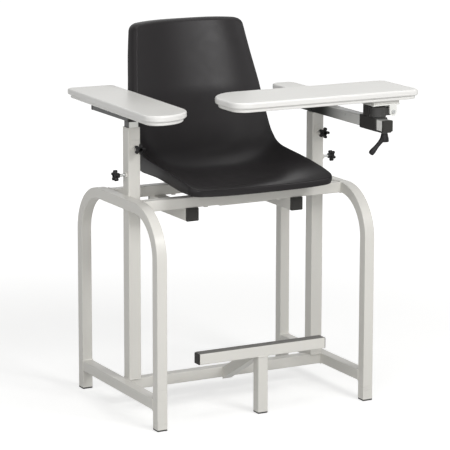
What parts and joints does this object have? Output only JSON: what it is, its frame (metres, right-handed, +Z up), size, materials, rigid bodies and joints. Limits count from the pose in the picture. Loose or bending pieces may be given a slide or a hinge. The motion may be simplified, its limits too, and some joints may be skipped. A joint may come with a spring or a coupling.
{
  "type": "phlebotomy chair",
  "caption": "Tall blood drawing chair: bent square tube frame with footrest, moulded shell seat, height-adjustable arm boards, one sliding, swivelling and flipping up.",
  "frame": {"origin": "on the floor, midway between the four legs", "axes": "+Z up, the sitter faces -Y, +X is the sitter's left, where the flip arm is"},
  "size_m": [0.8163, 0.7192, 1.103],
  "materials": {
    "frame_paint": "warm off-white baked enamel, satin",
    "board": "white laminate over chipboard with a moulded edge, satin",
    "seat": "fine-grained black moulded shell, satin",
    "chrome": "bright plated",
    "zinc": "zinc plated",
    "black_metal": "black powder coat, satin",
    "knob": "black moulded, satin",
    "end_plug": "black moulded, satin",
    "tread": "ribbed dark grey",
    "spacer": "plain black"
  },
  "bodies": {
    "frame": {"left_arch": "frame_paint", "right_arch": "frame_paint", "left_side_rail": "frame_paint", "right_side_rail": "frame_paint", "lower_cross_rail": "frame_paint", "left_post": "frame_paint", "right_post": "frame_paint", "front_seat_rail": "frame_paint", "rear_seat_rail": "frame_paint", "left_bearer": "frame_paint", "right_bearer": "frame_paint", "bearer_plugs": "end_plug", "front_strip": "frame_paint", "foot_caps": "end_plug", "footrest_bar": "frame_paint", "footrest_leg": "frame_paint", "footrest_brace": "frame_paint", "footrest_plugs": "end_plug", "footrest_tread": "tread", "knob_pads": "frame_paint", "clamp_nuts": "frame_paint", "seat_shell": "seat", "seat_spacers": "spacer", "seat_bolts": "zinc"},
    "left_arm": {"left_arm_tube": "chrome", "left_arm_bar": "chrome", "left_bar_plugs": "end_plug", "left_board_base": "board", "left_board_top": "board", "left_board_screws": "zinc"},
    "right_arm": {"right_arm_tube": "chrome", "right_arm_bar": "chrome", "right_bar_plugs": "end_plug", "elbow_pad_base": "board", "elbow_pad_top": "board", "elbow_pad_screws": "zinc"},
    "slider": {"slider_sleeve": "black_metal", "swivel_stud": "zinc"},
    "swivel": {"swivel_head": "black_metal"},
    "flip_arm": {"hinge_bracket": "frame_paint", "hinge_bolt": "zinc", "hinge_packing": "board", "flip_board_base": "board", "flip_board_top": "board", "flip_board_screws": "zinc"},
    "clamp_screw": {"lever_stud": "zinc"},
    "clamp_handle": {"lever_handle": "knob"},
    "left_low_clamp": {"left_low_stud": "zinc", "left_low_knob": "knob"},
    "left_high_clamp": {"left_high_stud": "zinc", "left_high_knob": "knob"},
    "right_low_clamp": {"right_low_stud": "zinc", "right_low_knob": "knob"},
    "right_high_clamp": {"right_high_stud": "zinc", "right_high_knob": "knob"}
  },
  "joints": [
    {"name": "left_arm_height", "type": "slide", "parent": "frame", "child": "left_arm", "axis": [0, 0, 1], "range_m": [-0.016, 0.13]},
    {"name": "right_arm_height", "type": "slide", "parent": "frame", "child": "right_arm", "axis": [0, 0, 1], "range_m": [0, 0.14]},
    {"name": "slider_travel", "type": "slide", "parent": "right_arm", "child": "slider", "axis": [0, 1, 0], "range_m": [-0.002, 0.075]},
    {"name": "swivel_turn", "type": "hinge", "parent": "slider", "child": "swivel", "pos_m": [0.3048, -0.359, 0.87075], "axis": [0, 0, 1], "range_deg": [-15, 15]},
    {"name": "board_flip", "type": "hinge", "parent": "swivel", "child": "flip_arm", "pos_m": [0.346, -0.359, 0.88425], "axis": [0, 1, 0], "range_deg": [0, 95]},
    {"name": "clamp_screw_turn", "type": "hinge", "parent": "slider", "child": "clamp_screw", "pos_m": [0.3048, -0.397, 0.82], "axis": [0, 0, 1], "continuous": true},
    {"name": "clamp_handle_pull", "type": "slide", "parent": "clamp_screw", "child": "clamp_handle", "axis": [0, 0, -1], "range_m": [0, 0.004], "stiffness_N_per_m": 800, "springref_m": -0.003},
    {"name": "left_low_knob_turn", "type": "hinge", "parent": "frame", "child": "left_low_clamp", "pos_m": [-0.32385, -0.008, 0.697], "axis": [-1, 0, 0], "continuous": true},
    {"name": "left_high_knob_turn", "type": "hinge", "parent": "frame", "child": "left_high_clamp", "pos_m": [-0.3048, -0.02105, 0.777], "axis": [0, -1, 0], "continuous": true},
    {"name": "right_low_knob_turn", "type": "hinge", "parent": "frame", "child": "right_low_clamp", "pos_m": [0.32385, -0.008, 0.697], "axis": [1, 0, 0], "continuous": true},
    {"name": "right_high_knob_turn", "type": "hinge", "parent": "frame", "child": "right_high_clamp", "pos_m": [0.3048, -0.02105, 0.777], "axis": [0, -1, 0], "continuous": true}
  ]
}
